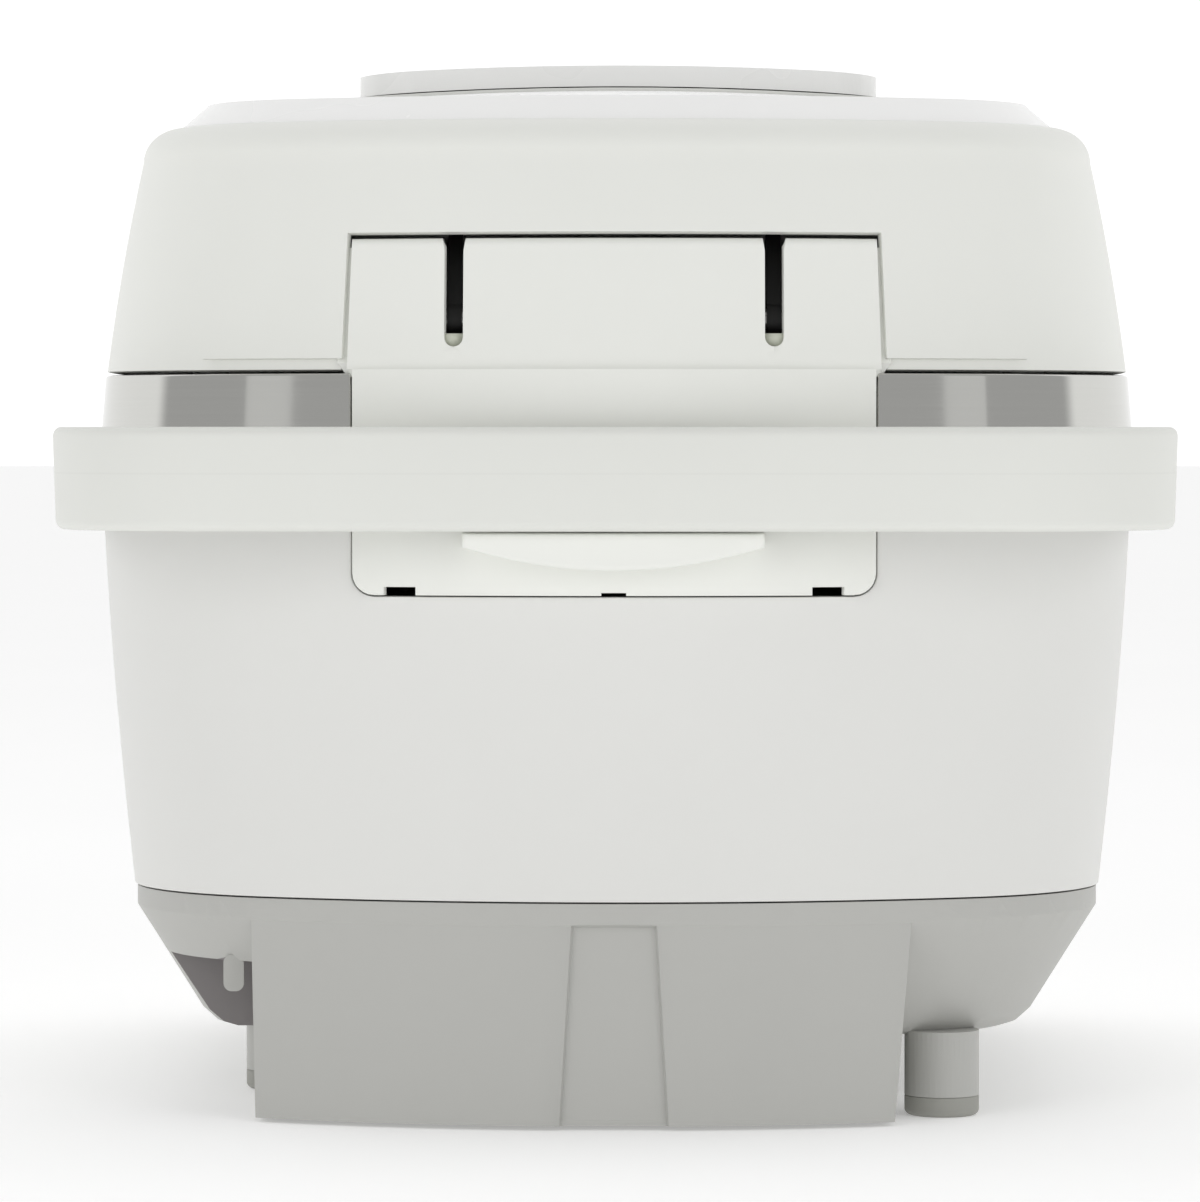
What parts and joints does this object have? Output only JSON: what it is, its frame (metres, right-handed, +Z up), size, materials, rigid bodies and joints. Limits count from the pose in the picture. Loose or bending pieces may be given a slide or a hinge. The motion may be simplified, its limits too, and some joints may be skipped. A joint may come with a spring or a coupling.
{
  "type": "rice cooker",
  "caption": "Rice cooker with a hinged domed lid, metal ring, folding carry handle, tapered body, grey base and removable pot.",
  "frame": {"origin": "on the surface it stands on, under the middle of its overall box", "axes": "+Z up, -Y the control side at the front, +Y the hinge side, +X to the user's right seen from the front"},
  "size_m": [0.278, 0.35, 0.2623],
  "materials": {
    "white_shell": "fine moulded matte",
    "lid_white": "fine moulded matte",
    "bezel_white": "satin",
    "panel": "satin",
    "grey_base": "fine moulded matte",
    "ring_metal": "satin",
    "steel": "satin",
    "spring_steel": "drawn wire",
    "pot_coat": "non-stick coating",
    "well_plastic": "moulded",
    "dark_plastic": "moulded",
    "frame_plastic": "moulded",
    "key_plastic": "moulded",
    "accent_key": "moulded",
    "rubber": "soft",
    "silicone": "soft",
    "lcd": "clear cover",
    "lcd_grey": "display",
    "board": "solder mask",
    "aluminium": "extruded",
    "copper": "enamelled wire",
    "ferrite": "sintered"
  },
  "bodies": {
    "root": {"base_tub": "grey_base", "rubber_feet": "rubber", "cord_gland": "rubber", "outer_body_shell": "white_shell", "ring_trim": "ring_metal", "body_top_frame": "frame_plastic", "hinge_shaft": "steel", "hinge_springs": "spring_steel", "rear_hinge_cover": "lid_white", "pot_well": "well_plastic", "inner_pot": "pot_coat", "coil_carrier": "dark_plastic", "induction_coils": "copper", "ferrite_bars": "ferrite", "sensor_spring": "spring_steel", "power_board": "board", "heat_sink": "aluminium", "board_components": "dark_plastic", "board_bracket": "frame_plastic", "fan_frame": "dark_plastic", "reel_housing": "dark_plastic", "reel_cover": "dark_plastic", "handle_pins": "steel"},
    "lid": {"lid_outer_shell": "lid_white", "lid_top_bezel": "bezel_white", "lid_top_panel": "panel", "lcd_window": "lcd", "lcd_module": "lcd_grey", "control_board": "board", "key_switches": "dark_plastic", "steam_bowl": "frame_plastic", "lid_inner_frame": "frame_plastic", "lid_hinge_arms": "frame_plastic", "inner_lid": "steel", "inner_lid_gasket": "silicone", "lid_heater_plate": "aluminium", "inner_lid_clips": "frame_plastic", "steam_duct": "frame_plastic", "lid_bumpers": "silicone", "latch_pin": "steel"},
    "handle": {"handle": "white_shell"},
    "steam_cap": {"steam_cap": "panel", "steam_cap_base": "frame_plastic"},
    "latch_button": {"latch_button": "lid_white"},
    "latch_hook": {"latch_hook": "dark_plastic"},
    "centre_sensor": {"centre_sensor": "aluminium"},
    "fan_impeller": {"fan_impeller": "dark_plastic"},
    "reel_drum": {"reel_drum": "dark_plastic"},
    "start_key": {"start_key": "accent_key"},
    "cancel_key": {"cancel_key": "key_plastic"},
    "menu_key": {"menu_key": "key_plastic"},
    "hour_key": {"hour_key": "key_plastic"},
    "minute_key": {"minute_key": "key_plastic"},
    "timer_key": {"timer_key": "key_plastic"},
    "warm_key": {"warm_key": "key_plastic"},
    "clock_key": {"clock_key": "key_plastic"}
  },
  "joints": [
    {"name": "lid_hinge", "type": "hinge", "parent": "root", "child": "lid", "pos_m": [0, 0.1445, 0.195], "axis": [-1, 0, 0], "range_deg": [0, 88]},
    {"name": "handle_pivot", "type": "hinge", "parent": "root", "child": "handle", "pos_m": [0, -0.025, 0.161], "axis": [1, 0, 0], "range_deg": [0, 90]},
    {"name": "steam_cap_lift", "type": "slide", "parent": "lid", "child": "steam_cap", "axis": [0, 0, 1], "range_m": [0, 0.03]},
    {"name": "latch_press", "type": "slide", "parent": "lid", "child": "latch_button", "axis": [0, 1, 0], "range_m": [0, 0.003], "stiffness_N_per_m": 900},
    {"name": "latch_hook_turn", "type": "hinge", "parent": "lid", "child": "latch_hook", "pos_m": [0, -0.1514, 0.204], "axis": [-1, 0, 0], "range_deg": [0, 9.6]},
    {"name": "sensor_travel", "type": "slide", "parent": "root", "child": "centre_sensor", "axis": [0, 0, 1], "range_m": [-0.002, 0], "stiffness_N_per_m": 700, "springref_m": 0.001, "deforming": ["sensor_spring"]},
    {"name": "fan_spin", "type": "hinge", "parent": "root", "child": "fan_impeller", "pos_m": [-0.034, 0.104, 0.01], "axis": [0, 0, 1], "continuous": true},
    {"name": "reel_spin", "type": "hinge", "parent": "root", "child": "reel_drum", "pos_m": [0.043, 0.107, 0.01], "axis": [0, 0, 1], "range_deg": [0, 720]},
    {"name": "start_key_press", "type": "slide", "parent": "lid", "child": "start_key", "axis": [0, 0, -1], "range_m": [0, 0.0008], "stiffness_N_per_m": 1500},
    {"name": "cancel_key_press", "type": "slide", "parent": "lid", "child": "cancel_key", "axis": [0, 0, -1], "range_m": [0, 0.0008], "stiffness_N_per_m": 1500},
    {"name": "menu_key_press", "type": "slide", "parent": "lid", "child": "menu_key", "axis": [0, 0, -1], "range_m": [0, 0.0008], "stiffness_N_per_m": 1500},
    {"name": "hour_key_press", "type": "slide", "parent": "lid", "child": "hour_key", "axis": [0, 0, -1], "range_m": [0, 0.0008], "stiffness_N_per_m": 1500},
    {"name": "minute_key_press", "type": "slide", "parent": "lid", "child": "minute_key", "axis": [0, 0, -1], "range_m": [0, 0.0008], "stiffness_N_per_m": 1500},
    {"name": "timer_key_press", "type": "slide", "parent": "lid", "child": "timer_key", "axis": [0, 0, -1], "range_m": [0, 0.0008], "stiffness_N_per_m": 1500},
    {"name": "warm_key_press", "type": "slide", "parent": "lid", "child": "warm_key", "axis": [0, 0, -1], "range_m": [0, 0.0008], "stiffness_N_per_m": 1500},
    {"name": "clock_key_press", "type": "slide", "parent": "lid", "child": "clock_key", "axis": [0, 0, -1], "range_m": [0, 0.0008], "stiffness_N_per_m": 1500}
  ],
  "couplings": [
    {"joint": "latch_hook_turn", "follows": "latch_press", "rad_per_m": 55.5}
  ]
}
